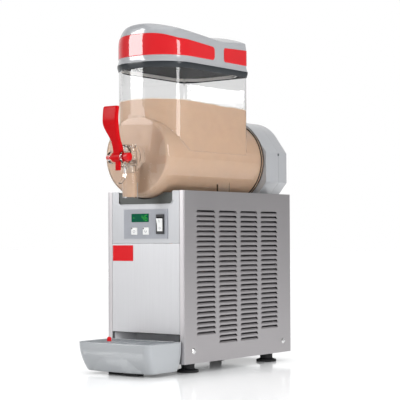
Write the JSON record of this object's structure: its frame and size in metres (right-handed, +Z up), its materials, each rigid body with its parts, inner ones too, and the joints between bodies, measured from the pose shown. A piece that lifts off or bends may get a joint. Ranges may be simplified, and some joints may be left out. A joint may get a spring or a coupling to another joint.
{
  "type": "slush machine",
  "caption": "Countertop slush machine: clear barrel bowl with auger and lever tap, crowned lid, louvred steel cabinet with controls, and a pull-out drip tray.",
  "frame": {"origin": "on the floor, under the middle of the whole machine's box", "axes": "+Z up, -Y towards the user, where the tap and the drip tray are, +X to the right"},
  "size_m": [0.207, 0.4978, 0.7055],
  "materials": {
    "side_steel": "brushed",
    "front_steel": "bright brushed",
    "frame_metal": "galvanised",
    "light_plastic": "satin",
    "tray_plastic": "satin",
    "red_plastic": "gloss",
    "dark_plastic": "satin",
    "black_rubber": "matt",
    "black_plastic": "satin",
    "white_plastic": "gloss",
    "clear_plastic": "clear",
    "slush_mix": "wet and frothy",
    "display_green": "lit behind a clear window",
    "circuit_board": "matt",
    "cold_metal": "smooth",
    "fin_metal": "bare",
    "machine_black": "semi-gloss",
    "copper": "bare"
  },
  "bodies": {
    "cabinet": {"base_pan": "frame_metal", "feet": "black_rubber", "side_panel_right": "side_steel", "side_panel_left": "side_steel", "front_panel_upper": "front_steel", "front_panel_lower": "front_steel", "side_panel_screws": "side_steel", "top_deck": "side_steel", "rear_panel": "side_steel", "chassis_posts": "frame_metal", "recess_liner": "black_plastic", "cord_gland": "black_plastic", "control_plate": "light_plastic", "display_window": "display_green", "rocker_bezel": "black_plastic", "badge_plate": "red_plastic", "control_board": "circuit_board", "bowl": "clear_plastic", "slush": "slush_mix", "bowl_gasket": "black_rubber", "tap_pivot_pin": "red_plastic", "drive_cover_front": "light_plastic", "drive_cover_rear": "light_plastic", "cover_screws": "dark_plastic", "drive_bracket": "frame_metal", "gear_motor": "machine_black", "shaft_seal": "black_rubber", "evaporator_drum": "cold_metal", "compressor": "machine_black", "compressor_grommets": "black_rubber", "condenser": "fin_metal", "fan_shroud": "black_plastic", "fan_motor": "machine_black", "refrigerant_pipes": "copper"},
    "agitator": {"auger": "white_plastic", "drive_shaft": "side_steel"},
    "fan": {"fan_blades": "light_plastic"},
    "lever": {"tap_lever": "red_plastic"},
    "piston": {"tap_piston": "white_plastic", "piston_seals": "black_rubber"},
    "lid": {"lid_base": "dark_plastic", "lid_seal": "white_plastic", "lid_shell": "light_plastic", "lid_lamp": "white_plastic", "lid_band": "red_plastic", "lid_rear_plates": "red_plastic"},
    "tray": {"drip_tray": "tray_plastic"},
    "grille": {"drip_grille": "dark_plastic"},
    "float": {"float_indicator": "red_plastic"},
    "left_button": {"button_left": "white_plastic"},
    "right_button": {"button_right": "white_plastic"},
    "rocker": {"rocker_switch": "white_plastic"}
  },
  "joints": [
    {"name": "auger_spin", "type": "hinge", "parent": "cabinet", "child": "agitator", "pos_m": [0, 0.06187, 0.436], "axis": [0, 1, 0], "continuous": true},
    {"name": "fan_spin", "type": "hinge", "parent": "cabinet", "child": "fan", "pos_m": [0, 0.12787, 0.1442], "axis": [0, 1, 0], "continuous": true},
    {"name": "lever_pull", "type": "hinge", "parent": "cabinet", "child": "lever", "pos_m": [0, -0.22112, 0.43], "axis": [1, 0, 0], "range_deg": [0, 28], "stiffness_Nm_per_rad": 0.5, "springref_deg": -11.46},
    {"name": "piston_lift", "type": "slide", "parent": "cabinet", "child": "piston", "axis": [0, 0, 1], "range_m": [0, 0.0142]},
    {"name": "lid_lift", "type": "slide", "parent": "cabinet", "child": "lid", "axis": [0, 0, 1], "range_m": [0, 0.16]},
    {"name": "tray_pull", "type": "slide", "parent": "cabinet", "child": "tray", "axis": [0, -1, 0], "range_m": [0, 0.15]},
    {"name": "grille_lift", "type": "slide", "parent": "tray", "child": "grille", "axis": [0, 0, 1], "range_m": [0, 0.06]},
    {"name": "float_rise", "type": "slide", "parent": "grille", "child": "float", "axis": [0, 0, 1], "range_m": [0, 0.012]},
    {"name": "left_button_press", "type": "slide", "parent": "cabinet", "child": "left_button", "axis": [0, 1, 0], "range_m": [0, 0.0012], "stiffness_N_per_m": 400, "springref_m": -0.001},
    {"name": "right_button_press", "type": "slide", "parent": "cabinet", "child": "right_button", "axis": [0, 1, 0], "range_m": [0, 0.0012], "stiffness_N_per_m": 400, "springref_m": -0.001},
    {"name": "rocker_tip", "type": "hinge", "parent": "cabinet", "child": "rocker", "pos_m": [0.0407, -0.13612, 0.2979], "axis": [-1, 0, 0], "range_deg": [0, 16]}
  ],
  "couplings": [
    {"joint": "piston_lift", "follows": "lever_pull", "m_per_rad": 0.028712}
  ]
}
